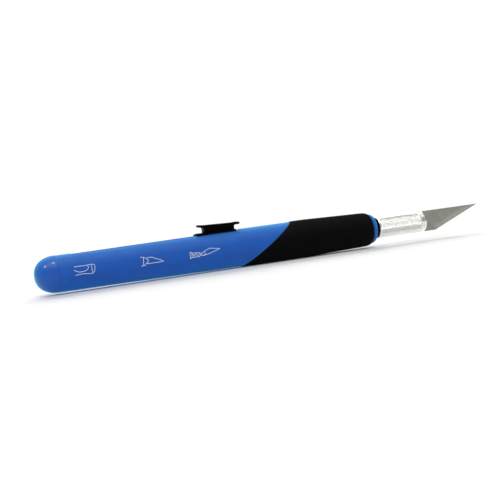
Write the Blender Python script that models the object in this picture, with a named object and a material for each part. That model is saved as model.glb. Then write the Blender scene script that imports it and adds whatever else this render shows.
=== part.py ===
"""Hobby craft knife with a retractable pointed blade.

The knife lies along X. The blade points to +X, the thumb slider is on top (+Z), and the object is
symmetric in Y. The origin is at the middle of the overall length, on the plane that the widest part
of the grip touches. Stations, named S_..., are distances in metres from the rear end of the handle.
"""

from math import cos, pi, radians, sin

import bmesh
import bpy
from mathutils import Vector

MM = 0.001

# Fits
GAP = 0.1 * MM                # clearance between neighbouring pieces
SIDES = 20                    # facets round the large turned pieces
SMALL_SIDES = 16              # facets round pins and their holes

# Overall size and motion
LENGTH = 134.6 * MM
TRAVEL = 35.0 * MM            # slide of the carriage between the two locked places

# Handle
GRIP_R = 5.45 * MM            # rear half of the grip sleeve, the widest place
GRIP_NECK_R = 4.96 * MM       # front end of the sleeve's taper
BARREL_REAR_R = 5.0 * MM
BARREL_FRONT_R = 5.3 * MM
CORE_R = 4.5 * MM             # barrel under the sleeve
CORE_NECK_R = 4.3 * MM
RIM_R = 4.3 * MM              # nose rim where the sleeve ends
LIP_R = 3.95 * MM             # inner radius of the sleeve's front lip, less a clearance
S_SEAM = 6.2 * MM             # joint line between end cap and barrel
S_GRIP_LOW = 57.0 * MM        # slanted rear edge of the sleeve: lowest and highest point
S_GRIP_HIGH = 72.9 * MM
S_GRIP_TAPER = 77.0 * MM      # from here the sleeve narrows to the front
S_GRIP_NECK = 95.1 * MM
S_GRIP_END = 97.3 * MM
S_NOSE = 98.7 * MM           # front end of the handle
S_CORE_TAPER = 92.0 * MM
S_BARREL_END = 95.9 * MM
SEAM_CHAMFER = 0.12 * MM
S_BEHIND_GRIP = 50.0 * MM     # behind the whole slanted edge, for blanks that are cut off at the slant
REACH = 8.0 * MM              # beyond the handle's outside, for cutters

# Track and slot on top of the barrel, and the grooves for the lock rail
TRACK_Z = 4.93 * MM
S_TRACK_END = 56.6 * MM
S_TRACK_RAMP = 57.8 * MM
SLOT_HALF = 1.65 * MM
S_SLOT = (10.2 * MM, 56.5 * MM)
RAIL_Z = (3.13 * MM, 3.53 * MM)
RAIL_HALF = 2.3 * MM
S_RAIL = (9.5 * MM, 58.6 * MM)

# Bores
SHUTTLE_BORE_R = 3.9 * MM
ROD_BORE_R = 3.4 * MM
BUSH_BORE_R = 3.2 * MM
S_BORE_STEP = 64.0 * MM
S_SOCKET = 89.0 * MM          # start of the socket for the rod ring and the nose bush
SOCKET_R = 3.75 * MM
S_ROD_RING = (89.1 * MM, 90.4 * MM)
S_REAR_BUMPER = 8.5 * MM

# Carriage
SHUTTLE_R = 3.75 * MM
SHUTTLE_TOP_Z = 2.95 * MM
S_SHUTTLE = (45.0 * MM, 62.5 * MM)
POCKET_HALF = 2.15 * MM
POCKET_FLOOR_Z = 0.9 * MM
S_POCKET = (46.7 * MM, 57.3 * MM)
ROD_R = 3.0 * MM
SPIGOT_R = 2.2 * MM
S_SPIGOT = 58.0 * MM
S_ROD_END = 98.65 * MM
S_SHUTTLE_PIN = 60.2 * MM
PIN_R = 0.6 * MM

# Thumb slider
STEM_HALF = 1.5 * MM
S_STEM = (47.2 * MM, 55.95 * MM)
STEM_FOOT_Z = 2.72 * MM
PLATE_HALF = 2.1 * MM
S_PLATE = (45.9 * MM, 57.5 * MM)
PLATE_THICK = 0.7 * MM
PLATE_REAR_Z = 7.83 * MM      # top of the plate at its rear and front ends
PLATE_FRONT_Z = 7.43 * MM
PLATE_DISH = 0.18 * MM        # depth of the thumb rest below the end lips
PLATE_LIP = 1.1 * MM
BASE_HALF = 2.3 * MM
BASE_THICK = 0.5 * MM
S_BASE = (44.7 * MM, 56.45 * MM)
S_LEG = (45.4 * MM, 46.55 * MM)
LEG_FOOT_Z = 1.9 * MM

# Lock spring
SPRING_THICK = 0.25 * MM
SPRING_HALF = 1.6 * MM
S_SPRING = (47.0 * MM, 57.0 * MM)
EAR_TOP_Z = 3.45 * MM
EAR_HALF = (1.83 * MM, 2.08 * MM)
EAR_LENGTH = 2.2 * MM
NOTCH_HALF = 2.12 * MM
NOTCH_LENGTH = 2.6 * MM

# Chuck
S_COLLET_END = 113.6 * MM
S_COLLET = (90.0 * MM, S_COLLET_END)
COLLET_R = 2.2 * MM
JAW_R = 1.95 * MM
S_JAW_CONE = 112.0 * MM
S_SLIT = 94.4 * MM
SLIT_HALF = 0.35 * MM
S_COLLET_PIN = 92.2 * MM
S_WASHER = (98.75 * MM, 99.75 * MM)
WASHER_R = 3.05 * MM
S_COLLAR = (99.85 * MM, 115.35 * MM)
COLLAR_R = 3.08 * MM
S_COLLAR_POCKET = (110.8 * MM, 114.75 * MM)
COLLAR_POCKET_R = 2.7 * MM
COLLAR_MOUTH_R = 2.3 * MM
RING_CLEARANCE = 0.25 * MM    # how far the closing ring can still move forward

# Blade
BLADE_HALF = 3.05 * MM        # half of the blade's width
BLADE_THICK = 0.5 * MM
TANG_HALF = 1.75 * MM
S_TANG = 94.9 * MM
S_SHOULDER = 115.72 * MM
S_HEEL = 119.5 * MM
BEVEL = 1.3 * MM              # width of the ground bevel, across the blade
EDGE_THICK = 0.03 * MM

# The lowest facet of the grip is the plane Z = 0, and the stations are centred on X = 0.
AXIS_Z = GRIP_R * cos(pi / SIDES)
ORIGIN_X = -LENGTH / 2


def clear_scene():
    for obj in list(bpy.data.objects):
        bpy.data.objects.remove(obj, do_unlink=True)


def material(name, colour, roughness, metallic=0.0):
    """A Principled material of one colour, given in linear RGB."""
    mat = bpy.data.materials.new(name)
    mat.use_nodes = True
    shader = mat.node_tree.nodes["Principled BSDF"]
    shader.inputs["Base Color"].default_value = (*colour, 1.0)
    shader.inputs["Roughness"].default_value = roughness
    shader.inputs["Metallic"].default_value = metallic
    return mat


def place(name, bm, mat=None, joint_at=None, smooth=True):
    """Turns a bmesh in station coordinates (s, y, z from the axis) into an object in the row frame."""
    origin = Vector(joint_at) if joint_at else Vector((0, 0, 0))
    bmesh.ops.translate(bm, verts=bm.verts, vec=-origin)
    bmesh.ops.recalc_face_normals(bm, faces=bm.faces)
    mesh = bpy.data.meshes.new(name)
    bm.to_mesh(mesh)
    bm.free()
    if smooth:
        mesh.shade_smooth()
        mesh.set_sharp_from_angle(angle=radians(30))
    obj = bpy.data.objects.new(name, mesh)
    bpy.context.scene.collection.objects.link(obj)
    obj.location = origin + Vector((ORIGIN_X, 0, AXIS_Z))
    if mat:
        mesh.materials.append(mat)
    return obj


def add_turned(bm, profile, sides=SIDES):
    """A closed ring of profile points (s, r), turned about the axis, with a facet facing straight down.

    A first and a last point on the axis close a solid end.
    """
    rings = []
    for s, r in profile:
        if r == 0:
            rings.append([bm.verts.new((s, 0, 0))])
            continue
        ring = []
        for k in range(sides):
            a = (k + 0.5) * 2 * pi / sides
            ring.append(bm.verts.new((s, r * cos(a), r * sin(a))))
        rings.append(ring)
    solid = len(rings[0]) == 1
    count = len(rings) if not solid else len(rings) - 1
    for i in range(count):
        a = rings[i]
        b = rings[(i + 1) % len(rings)]
        for k in range(sides):
            n = (k + 1) % sides
            if len(a) == 1:
                bm.faces.new((a[0], b[k], b[n]))
            elif len(b) == 1:
                bm.faces.new((a[k], b[0], a[n]))
            else:
                bm.faces.new((a[k], b[k], b[n], a[n]))


def turned(profile, sides=SIDES):
    bm = bmesh.new()
    add_turned(bm, profile, sides)
    return bm


def add_block(bm, s, y, z):
    """A box between two stations s, two sides y and two heights z."""
    low = Vector((s[0], y[0], z[0]))
    high = Vector((s[1], y[1], z[1]))
    made = bmesh.ops.create_cube(bm, size=1.0)["verts"]
    size = high - low
    for v in made:
        v.co = Vector((low.x + (v.co.x + 0.5) * size.x,
                       low.y + (v.co.y + 0.5) * size.y,
                       low.z + (v.co.z + 0.5) * size.z))


def block(s, y, z):
    bm = bmesh.new()
    add_block(bm, s, y, z)
    return bm


def extruded(outline, half):
    """An outline of (s, z) points, extruded from y = -half to y = +half."""
    bm = bmesh.new()
    bottom = [bm.verts.new((s, -half, z)) for s, z in outline]
    face = bm.faces.new(bottom)
    moved = bmesh.ops.extrude_face_region(bm, geom=[face])["geom"]
    top = [g for g in moved if isinstance(g, bmesh.types.BMVert)]
    bmesh.ops.translate(bm, verts=top, vec=(0, 2 * half, 0))
    return bm


def cross_pin(s, z, radius, half, sides=SMALL_SIDES):
    """A pin along Y, with its middle at station s and height z."""
    bm = bmesh.new()
    ends = []
    for y in (-half, half):
        ends.append([bm.verts.new((s + radius * cos(2 * pi * k / sides), y,
                                   z + radius * sin(2 * pi * k / sides))) for k in range(sides)])
    for k in range(sides):
        n = (k + 1) % sides
        bm.faces.new((ends[0][k], ends[1][k], ends[1][n], ends[0][n]))
    bm.faces.new(ends[0])
    bm.faces.new(ends[1])
    return bm


def cutter(name, bm):
    obj = place(name, bm, smooth=False)
    obj.hide_render = True
    obj.display_type = "WIRE"
    return obj


def boolean(obj, other, operation="DIFFERENCE"):
    mod = obj.modifiers.new(operation.lower() + "_" + other.name, "BOOLEAN")
    mod.operation = operation
    mod.solver = "EXACT"
    mod.object = other
    return mod


def arc(centre_s, centre_r, radius_s, radius_r, start, end, steps):
    """Profile points on an ellipse arc, from angle start to end in degrees, 0 pointing to +s."""
    points = []
    for k in range(steps + 1):
        a = radians(start + (end - start) * k / steps)
        points.append((centre_s + radius_s * cos(a), centre_r + radius_r * sin(a)))
    return points


def make_end_cap(blue):
    """Rounded rear end, with a hollow plug that fits the barrel's bore."""
    dome_length = S_SEAM - 1.1 * MM
    dome = arc(dome_length, 0, dome_length, BARREL_REAR_R, 180, 90, 8)
    dome[0] = (0.0, 0)
    seam = S_SEAM - GAP / 2
    plug_r = SHUTTLE_BORE_R - GAP
    plug_end = S_REAR_BUMPER - GAP
    plug_chamfer = 0.3 * MM
    hollow_r = 2.8 * MM
    hollow_end = 3.4 * MM
    hollow_tip = 2.6 * MM
    profile = dome + [
        (seam - SEAM_CHAMFER, BARREL_REAR_R),
        (seam, BARREL_REAR_R - SEAM_CHAMFER),
        (seam, plug_r),
        (plug_end - plug_chamfer, plug_r),
        (plug_end, plug_r - plug_chamfer),
        (plug_end, hollow_r),
        (hollow_end, hollow_r),
        (hollow_tip, 0),
    ]
    return place("end_cap", turned(profile), blue)


def slant_cutter(name, shift):
    """A large wedge in front of the slanted line where the sleeve starts, moved forward by shift."""
    slope = (S_GRIP_HIGH - S_GRIP_LOW) / (2 * BARREL_FRONT_R)
    middle = (S_GRIP_LOW + S_GRIP_HIGH) / 2 + shift
    low = middle - slope * REACH
    high = middle + slope * REACH
    outline = [(low, -REACH), (S_COLLET_END, -REACH), (S_COLLET_END, REACH), (high, REACH)]
    return cutter(name, extruded(outline, REACH))


def core_profile(grow):
    """Outside of the barrel under the sleeve, grown by a clearance, from the rear to the front."""
    return [
        (S_BEHIND_GRIP, CORE_R + grow),
        (S_CORE_TAPER, CORE_R + grow),
        (S_BARREL_END + grow, CORE_NECK_R + grow),
    ]


def make_barrel(blue):
    """Blue tube: bore, slot, flat track, rail grooves, recess for the sleeve and socket for the bush."""
    seam = S_SEAM + GAP / 2
    s_full = S_GRIP_HIGH + 4 * MM
    s_core = s_full + 0.5 * MM
    profile = [
        (seam, BARREL_REAR_R - SEAM_CHAMFER),
        (seam + SEAM_CHAMFER, BARREL_REAR_R),
        (S_GRIP_LOW, BARREL_FRONT_R),
        (s_full, BARREL_FRONT_R),
        (s_core, CORE_R),
        (S_CORE_TAPER, CORE_R),
        (S_BARREL_END, CORE_NECK_R),
        (S_BARREL_END, SOCKET_R),
        (S_SOCKET, SOCKET_R),
        (S_SOCKET, ROD_BORE_R),
        (S_BORE_STEP, ROD_BORE_R),
        (S_BORE_STEP, SHUTTLE_BORE_R),
        (seam, SHUTTLE_BORE_R),
    ]
    barrel = place("barrel", turned(profile), blue)

    recess_profile = [(S_BEHIND_GRIP, CORE_R), (S_NOSE, CORE_R), (S_NOSE, REACH), (S_BEHIND_GRIP, REACH)]
    recess = cutter("recess_cutter", turned(recess_profile))
    boolean(recess, slant_cutter("recess_slant", 0.0), "INTERSECT")
    boolean(barrel, recess)

    track = [
        (0, TRACK_Z),
        (S_TRACK_END, TRACK_Z),
        (S_TRACK_RAMP, BARREL_FRONT_R + GAP),
        (S_TRACK_RAMP, REACH),
        (0, REACH),
    ]
    boolean(barrel, cutter("track_cutter", extruded(track, REACH)))
    slot = block(S_SLOT, (-SLOT_HALF, SLOT_HALF), (RAIL_Z[0] - MM, REACH))
    boolean(barrel, cutter("slot_cutter", slot))
    groove_half = RAIL_HALF + GAP
    groove = block((0, S_RAIL[1] + GAP), (-groove_half, groove_half), (RAIL_Z[0] - GAP, RAIL_Z[1] + GAP))
    boolean(barrel, cutter("groove_cutter", groove))
    return barrel


def make_grip_sleeve(rubber):
    """Rubber sleeve, cut off at a slant at the rear and rounded down to the nose rim at the front."""
    inner = core_profile(GAP)
    rim = S_GRIP_END - GAP / 2
    lip_r = LIP_R + GAP
    profile = [(S_BEHIND_GRIP, GRIP_R), (S_GRIP_TAPER, GRIP_R)]
    profile += arc(S_GRIP_NECK, RIM_R, rim - S_GRIP_NECK, GRIP_NECK_R - RIM_R, 90, 10, 5)
    profile += [(rim, RIM_R), (rim, lip_r), (inner[-1][0], lip_r)]
    profile += reversed(inner)
    sleeve = place("grip_sleeve", turned(profile), rubber)
    boolean(sleeve, slant_cutter("sleeve_slant", GAP), "INTERSECT")
    return sleeve


def make_nose_bush(blue):
    """Guide bush for the rod. Its flange carries the rounded rim at the front of the handle."""
    rear = S_ROD_RING[1] + GAP
    flange = S_BARREL_END + 1.2 * GAP
    rim = S_GRIP_END + GAP / 2
    land = 0.25 * MM
    mouth_r = BUSH_BORE_R + land
    mouth_depth = 0.15 * MM
    profile = [
        (rear, SOCKET_R - GAP),
        (flange, SOCKET_R - GAP),
        (flange, LIP_R),
        (rim, LIP_R),
        (rim, RIM_R),
    ]
    profile += arc(rim + land, mouth_r, S_NOSE - rim - land, RIM_R - mouth_r, 90, 0, 5)
    profile += [(S_NOSE - mouth_depth, BUSH_BORE_R), (rear, BUSH_BORE_R)]
    return place("nose_bush", turned(profile), blue)


def make_rod_ring(rubber):
    """Rubber ring between the socket's step and the bush, as wide as the bush's bore inside."""
    middle = (S_ROD_RING[0] + S_ROD_RING[1]) / 2
    inner_r = BUSH_BORE_R
    outer_r = SOCKET_R - GAP
    half_width = (S_ROD_RING[1] - S_ROD_RING[0]) / 2
    half_height = (outer_r - inner_r) / 2
    section = arc(middle, inner_r + half_height, half_width, half_height, 0, 360, 10)[:-1]
    return place("rod_ring", turned(section), rubber)


def make_lock_rail(steel):
    """Slotted strip in the barrel's grooves, with a pair of notches for each locked place."""
    rail = place("lock_rail", block(S_RAIL, (-RAIL_HALF, RAIL_HALF), RAIL_Z), steel, smooth=False)
    height = (RAIL_Z[0] - MM, RAIL_Z[1] + MM)
    bm = block((S_SLOT[0], S_SLOT[1] + 2 * GAP), (-SLOT_HALF, SLOT_HALF), height)
    boolean(rail, cutter("rail_slot_cutter", bm))
    ear_middle = (S_SPRING[0] + S_SPRING[1]) / 2
    for number, middle in enumerate((ear_middle, ear_middle - TRAVEL), start=1):
        span = (middle - NOTCH_LENGTH / 2, middle + NOTCH_LENGTH / 2)
        bm = block(span, (-NOTCH_HALF, NOTCH_HALF), height)
        boolean(rail, cutter(f"notch_cutter_{number}", bm))
    return rail


def make_front_bumper(rubber):
    profile = [(S_SHUTTLE[1] + GAP, SHUTTLE_BORE_R - GAP), (S_BORE_STEP - GAP, SHUTTLE_BORE_R - GAP),
               (S_BORE_STEP - GAP, ROD_R + 2 * GAP), (S_SHUTTLE[1] + GAP, ROD_R + 2 * GAP)]
    return place("front_bumper", turned(profile), rubber)


def make_rear_bumper(rubber):
    rear = S_REAR_BUMPER
    front = S_RAIL[0] - GAP
    radius = SHUTTLE_BORE_R - GAP
    chamfer = 0.2 * MM
    profile = [(rear, 0), (rear, radius - chamfer), (rear + chamfer, radius), (front - chamfer, radius),
               (front, radius - chamfer), (front, 0)]
    return place("rear_bumper", turned(profile), rubber)


def make_shuttle(plastic):
    """Slide block with a flat top, a pocket for the spring and the button, and a socket for the rod."""
    rear, front = S_SHUTTLE
    socket_r = SPIGOT_R + GAP
    chamfer = 0.3 * MM
    profile = [
        (rear, 0),
        (rear, SHUTTLE_R - chamfer),
        (rear + chamfer, SHUTTLE_R),
        (front - chamfer, SHUTTLE_R),
        (front, SHUTTLE_R - chamfer),
        (front, socket_r),
        (S_SPIGOT - GAP, socket_r),
        (S_SPIGOT - GAP, 0),
    ]
    shuttle = place("shuttle", turned(profile), plastic)
    above = block((rear - MM, front + MM), (-REACH, REACH), (SHUTTLE_TOP_Z, REACH))
    boolean(shuttle, cutter("shuttle_top_cutter", above))
    pocket = block(S_POCKET, (-POCKET_HALF, POCKET_HALF), (POCKET_FLOOR_Z, REACH))
    boolean(shuttle, cutter("pocket_cutter", pocket))
    leg_half = STEM_HALF + GAP
    leg = block((S_LEG[0] - GAP, S_POCKET[0] + GAP), (-leg_half, leg_half), (LEG_FOOT_Z - GAP, REACH))
    boolean(shuttle, cutter("leg_cutter", leg))
    hole = cross_pin(S_SHUTTLE_PIN, 0, PIN_R + GAP / 2, REACH)
    boolean(shuttle, cutter("shuttle_pin_hole", hole))
    return shuttle


def make_shuttle_pin(steel):
    half = SHUTTLE_R - 2 * GAP
    return place("shuttle_pin", cross_pin(S_SHUTTLE_PIN, 0, PIN_R, half), steel)


def make_slide_rod(steel):
    """Rod with a spigot in the shuttle and a bored front end for the collet."""
    shoulder = S_SHUTTLE[1] + GAP
    bore_r = COLLET_R + GAP
    chamfer = 0.2 * MM
    profile = [
        (S_SPIGOT, 0),
        (S_SPIGOT, SPIGOT_R),
        (shoulder, SPIGOT_R),
        (shoulder, ROD_R - chamfer),
        (shoulder + chamfer, ROD_R),
        (S_ROD_END - chamfer, ROD_R),
        (S_ROD_END, ROD_R - chamfer),
        (S_ROD_END, bore_r),
        (S_COLLET[0] - GAP, bore_r),
        (S_COLLET[0] - GAP, 0),
    ]
    rod = place("slide_rod", turned(profile), steel)
    for name, s in (("rod_shuttle_pin_hole", S_SHUTTLE_PIN), ("rod_collet_pin_hole", S_COLLET_PIN)):
        boolean(rod, cutter(name, cross_pin(s, 0, PIN_R + GAP / 2, REACH)))
    return rod


def make_collet(brass):
    """Round stem, slit lengthwise into two jaws whose noses are coned for the closing ring."""
    rear, front = S_COLLET
    profile = [(rear, 0), (rear, COLLET_R), (S_JAW_CONE, COLLET_R), (front, JAW_R), (front, 0)]
    collet = place("collet", turned(profile), brass)
    slit = block((S_SLIT, front + MM), (-SLIT_HALF, SLIT_HALF), (-REACH, REACH))
    boolean(collet, cutter("slit_cutter", slit))
    hole = cross_pin(S_COLLET_PIN, 0, PIN_R + GAP / 2, REACH)
    boolean(collet, cutter("collet_pin_hole", hole))
    return collet


def make_collet_pin(steel):
    half = ROD_R - GAP
    return place("collet_pin", cross_pin(S_COLLET_PIN, 0, PIN_R, half), steel)


def make_chuck_washer(plastic):
    rear, front = S_WASHER
    bore_r = COLLET_R + GAP
    chamfer = 0.12 * MM
    profile = [(rear, bore_r), (rear, WASHER_R - chamfer), (rear + chamfer, WASHER_R),
               (front - chamfer, WASHER_R), (front, WASHER_R - chamfer), (front, bore_r)]
    return place("chuck_washer", turned(profile), plastic)


def make_closing_ring(steel):
    """Ring with a conical bore that squeezes the two jaws together."""
    rear = S_COLLAR_POCKET[0] + GAP
    front = S_COLLAR_POCKET[1] - GAP
    slope = (COLLET_R - JAW_R) / (S_COLLET[1] - S_JAW_CONE)
    outer_r = COLLAR_POCKET_R - GAP
    entry_r = COLLET_R + GAP
    exit_r = JAW_R + GAP
    cone_start = S_JAW_CONE + RING_CLEARANCE
    cone_end = cone_start + (entry_r - exit_r) / slope
    profile = [(rear, entry_r), (rear, outer_r), (front, outer_r), (front, exit_r), (cone_end, exit_r),
               (cone_start, entry_r)]
    return place("closing_ring", turned(profile), steel)


def make_chuck_collar(aluminium):
    """Round collar: bored for the collet, with a pocket for the closing ring and a lipped mouth."""
    rear, front = S_COLLAR
    bore_r = COLLET_R + GAP
    chamfer = 0.25 * MM
    rounding = 0.45 * MM
    profile = [(rear, bore_r), (rear, COLLAR_R - chamfer), (rear + chamfer, COLLAR_R)]
    profile += arc(front - rounding, COLLAR_R - rounding, rounding, rounding, 90, 0, 3)
    profile += [
        (front, COLLAR_MOUTH_R),
        (S_COLLAR_POCKET[1], COLLAR_MOUTH_R),
        (S_COLLAR_POCKET[1], COLLAR_POCKET_R),
        (S_COLLAR_POCKET[0], COLLAR_POCKET_R),
        (S_COLLAR_POCKET[0], bore_r),
    ]
    return place("chuck_collar", turned(profile), aluminium)


def make_blade(steel):
    """Pointed blade: a tang, a full-width shoulder, and an edge ground from both sides.

    The spine is level with the tip. The edge runs from the heel, at the bottom, up to the tip.
    """
    half = BLADE_THICK / 2
    edge_half = EDGE_THICK / 2
    heel = Vector((S_HEEL, -BLADE_HALF))
    tip = Vector((LENGTH, BLADE_HALF))
    along = (tip - heel).normalized()
    across = Vector((-along.y, along.x))
    grind_heel = heel + across * BEVEL
    grind_tip = Vector((LENGTH - BEVEL / along.y, BLADE_HALF))
    grind_base = Vector((S_HEEL - 0.3 * MM, -BLADE_HALF))
    corner = 0.5 * MM
    body = [
        (S_TANG, -TANG_HALF + corner),
        (S_TANG + corner, -TANG_HALF),
        (S_SHOULDER, -TANG_HALF),
        (S_SHOULDER, -BLADE_HALF),
        tuple(grind_base),
        tuple(grind_heel),
        tuple(grind_tip),
        (S_SHOULDER, BLADE_HALF),
        (S_SHOULDER, TANG_HALF),
        (S_TANG + corner, TANG_HALF),
        (S_TANG, TANG_HALF - corner),
    ]
    bm = bmesh.new()
    sides = []
    edges = []
    for y in (-1, 1):
        sides.append([bm.verts.new((s, y * half, z)) for s, z in body])
        edges.append([bm.verts.new((p.x, y * edge_half, p.y)) for p in (heel, tip)])
    base, inner, outer = 4, 5, 6
    for side, edge in zip(sides, edges):
        bm.faces.new(side)
        bm.faces.new((side[base], edge[0], side[inner]))
        bm.faces.new((side[inner], edge[0], edge[1], side[outer]))
    left, right = sides
    for k in range(len(body)):
        n = (k + 1) % len(body)
        if k not in (base, inner, outer):
            bm.faces.new((left[k], right[k], right[n], left[n]))
    bm.faces.new((left[base], right[base], edges[1][0], edges[0][0]))
    bm.faces.new((edges[0][0], edges[1][0], edges[1][1], edges[0][1]))
    bm.faces.new((edges[0][1], edges[1][1], right[outer], left[outer]))
    last = outer + 1
    bm.faces.new((left[outer], right[outer], right[last], left[last]))
    return place("blade", bm, steel, joint_at=(S_TANG, 0, 0), smooth=False)


def make_thumb_button(plastic):
    """Stem with a thumb plate on top. The plate slopes down to the front and has a raised lip at each end."""
    slope = (PLATE_FRONT_Z - PLATE_REAR_Z) / (S_PLATE[1] - S_PLATE[0])

    def top(s):
        return PLATE_REAR_Z + slope * (s - S_PLATE[0])

    rear, front = S_PLATE
    fillet = 0.35 * MM
    outline = [
        (S_STEM[0], STEM_FOOT_Z),
        (S_STEM[1], STEM_FOOT_Z),
        (S_STEM[1], top(S_STEM[1]) - PLATE_THICK - fillet),
        (S_STEM[1] + fillet, top(S_STEM[1]) - PLATE_THICK),
        (front, top(front) - PLATE_THICK + 0.15 * MM),
        (front, top(front) - 0.1 * MM),
        (front - 0.2 * MM, top(front)),
        (front - 0.5 * MM, top(front)),
        (front - PLATE_LIP, top(front - PLATE_LIP) - PLATE_DISH),
        (rear + PLATE_LIP, top(rear + PLATE_LIP) - PLATE_DISH),
        (rear + 0.5 * MM, top(rear)),
        (rear + 0.2 * MM, top(rear)),
        (rear, top(rear) - 0.1 * MM),
        (rear, top(rear) - PLATE_THICK + 0.15 * MM),
        (S_STEM[0] - fillet, top(S_STEM[0]) - PLATE_THICK),
        (S_STEM[0], top(S_STEM[0]) - PLATE_THICK - fillet),
    ]
    middle = ((S_STEM[0] + S_STEM[1]) / 2, 0, STEM_FOOT_Z)
    button = place("thumb_button", extruded(outline, PLATE_HALF), plastic, joint_at=middle, smooth=False)
    foot_half = STEM_HALF + 0.28 * MM
    foot_top = RAIL_Z[0] - GAP
    foot_low = STEM_FOOT_Z - MM
    ends = (rear - MM, front + MM)
    beside_stem = [(ends[0], foot_top), (ends[1], foot_top),
                   (ends[1], top(ends[1]) - PLATE_THICK), (ends[0], top(ends[0]) - PLATE_THICK)]
    beside_foot = [(ends[0], foot_low), (ends[1], foot_low), (ends[1], foot_top + GAP / 2),
                   (ends[0], foot_top + GAP / 2)]
    reach = 1.5 * MM
    for side_name, side in (("left", -1), ("right", 1)):
        for level, shape, inner in (("stem", beside_stem, STEM_HALF), ("foot", beside_foot, foot_half)):
            bm = extruded(shape, reach)
            bmesh.ops.translate(bm, verts=bm.verts, vec=(0, side * (inner + reach), 0))
            boolean(button, cutter(f"{level}_side_{side_name}", bm))
    return button


def make_slider_base(plastic):
    """Saddle plate on the track, with a window for the stem and a leg down into the shuttle."""
    low = TRACK_Z + GAP / 2
    high = low + BASE_THICK
    rear, front = S_BASE
    nose = 0.9 * MM
    outline = [
        (rear, low),
        (S_LEG[0], low),
        (S_LEG[0], LEG_FOOT_Z),
        (S_LEG[1], LEG_FOOT_Z),
        (S_LEG[1], low),
        (front, low),
        (front, high - 0.15 * MM),
        (front - 0.15 * MM, high),
        (rear + nose, high),
        (rear + 0.35 * MM, high - 0.12 * MM),
        (rear, low + 0.15 * MM),
    ]
    base = place("slider_base", extruded(outline, BASE_HALF), plastic, smooth=False)
    window = block((S_STEM[0] - GAP, S_STEM[1] + GAP), (-STEM_HALF - GAP, STEM_HALF + GAP),
                   (low - MM, high + MM))
    boolean(base, cutter("window_cutter", window))
    for name, side in (("left", -1), ("right", 1)):
        edge = sorted((side * STEM_HALF, side * REACH))
        bm = block((S_LEG[0] - MM, S_LEG[1] + MM), edge, (LEG_FOOT_Z - MM, low))
        boolean(base, cutter(f"leg_side_{name}", bm))
    return base


def spring_height(s):
    """Underside of the bowed leaf, which rests on the pocket's floor at both ends."""
    t = (s - S_SPRING[0]) / (S_SPRING[1] - S_SPRING[0])
    foot = POCKET_FLOOR_Z + 0.05 * MM
    rise = STEM_FOOT_Z - 0.05 * MM - SPRING_THICK - foot
    return foot + rise * sin(pi * t) ** 1.2


def make_lock_spring(steel):
    """Bowed leaf with an ear on each side that stands up into the rail's notches."""
    steps = 16
    stations = [S_SPRING[0] + (S_SPRING[1] - S_SPRING[0]) * k / steps for k in range(steps + 1)]
    lower = [(s, spring_height(s)) for s in stations]
    upper = [(s, z + SPRING_THICK) for s, z in reversed(lower)]
    spring = place("lock_spring", extruded(lower + upper, SPRING_HALF), steel, smooth=False)
    middle = (S_SPRING[0] + S_SPRING[1]) / 2
    span = (middle - EAR_LENGTH / 2, middle + EAR_LENGTH / 2)
    foot = spring_height(span[0]) + 0.02 * MM
    outline = [(-EAR_HALF[1], foot), (EAR_HALF[1], foot), (EAR_HALF[1], EAR_TOP_Z), (EAR_HALF[0], EAR_TOP_Z),
               (EAR_HALF[0], foot + SPRING_THICK * 0.8), (-EAR_HALF[0], foot + SPRING_THICK * 0.8),
               (-EAR_HALF[0], EAR_TOP_Z), (-EAR_HALF[1], EAR_TOP_Z)]
    bm = bmesh.new()
    face = bm.faces.new([bm.verts.new((span[0], y, z)) for y, z in outline])
    moved = bmesh.ops.extrude_face_region(bm, geom=[face])["geom"]
    top = [g for g in moved if isinstance(g, bmesh.types.BMVert)]
    bmesh.ops.translate(bm, verts=top, vec=(span[1] - span[0], 0, 0))
    boolean(spring, cutter("ears_union", bm), "UNION")
    return spring


def build():
    clear_scene()
    blue = material("blue_plastic", (0.03, 0.14, 0.48), 0.38)
    black = material("black_plastic", (0.006, 0.006, 0.007), 0.4)
    rubber = material("grip_rubber", (0.011, 0.011, 0.012), 0.72)
    steel = material("bright_steel", (0.5, 0.5, 0.49), 0.3, 1.0)
    spring_steel = material("spring_steel", (0.32, 0.33, 0.36), 0.35, 1.0)
    blade_steel = material("blade_steel", (0.27, 0.27, 0.25), 0.42, 1.0)
    brass = material("brass", (0.65, 0.47, 0.2), 0.3, 1.0)
    aluminium = material("aluminium", (0.78, 0.78, 0.75), 0.28, 1.0)

    make_end_cap(blue)
    make_barrel(blue)
    make_grip_sleeve(rubber)
    make_nose_bush(blue)
    make_rod_ring(rubber)
    make_lock_rail(steel)
    make_front_bumper(rubber)
    make_rear_bumper(rubber)
    make_shuttle(black)
    make_shuttle_pin(steel)
    make_slide_rod(steel)
    make_collet(brass)
    make_collet_pin(steel)
    make_chuck_washer(black)
    make_closing_ring(steel)
    make_chuck_collar(aluminium)
    make_blade(blade_steel)
    make_thumb_button(black)
    make_slider_base(black)
    make_lock_spring(spring_steel)


build()
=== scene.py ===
"""Looks of the hobby craft knife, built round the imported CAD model.

Every piece is in metres, in the CAD's own frame: the knife lies along X, its blade points to +X and the
thumb slider is on top. Stations are distances along the axis from the rear end of the handle.
"""

from math import acos, atan2, cos, hypot, pi, radians, sin, sqrt

import bmesh
import bpy
from mathutils import Matrix, Vector


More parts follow.
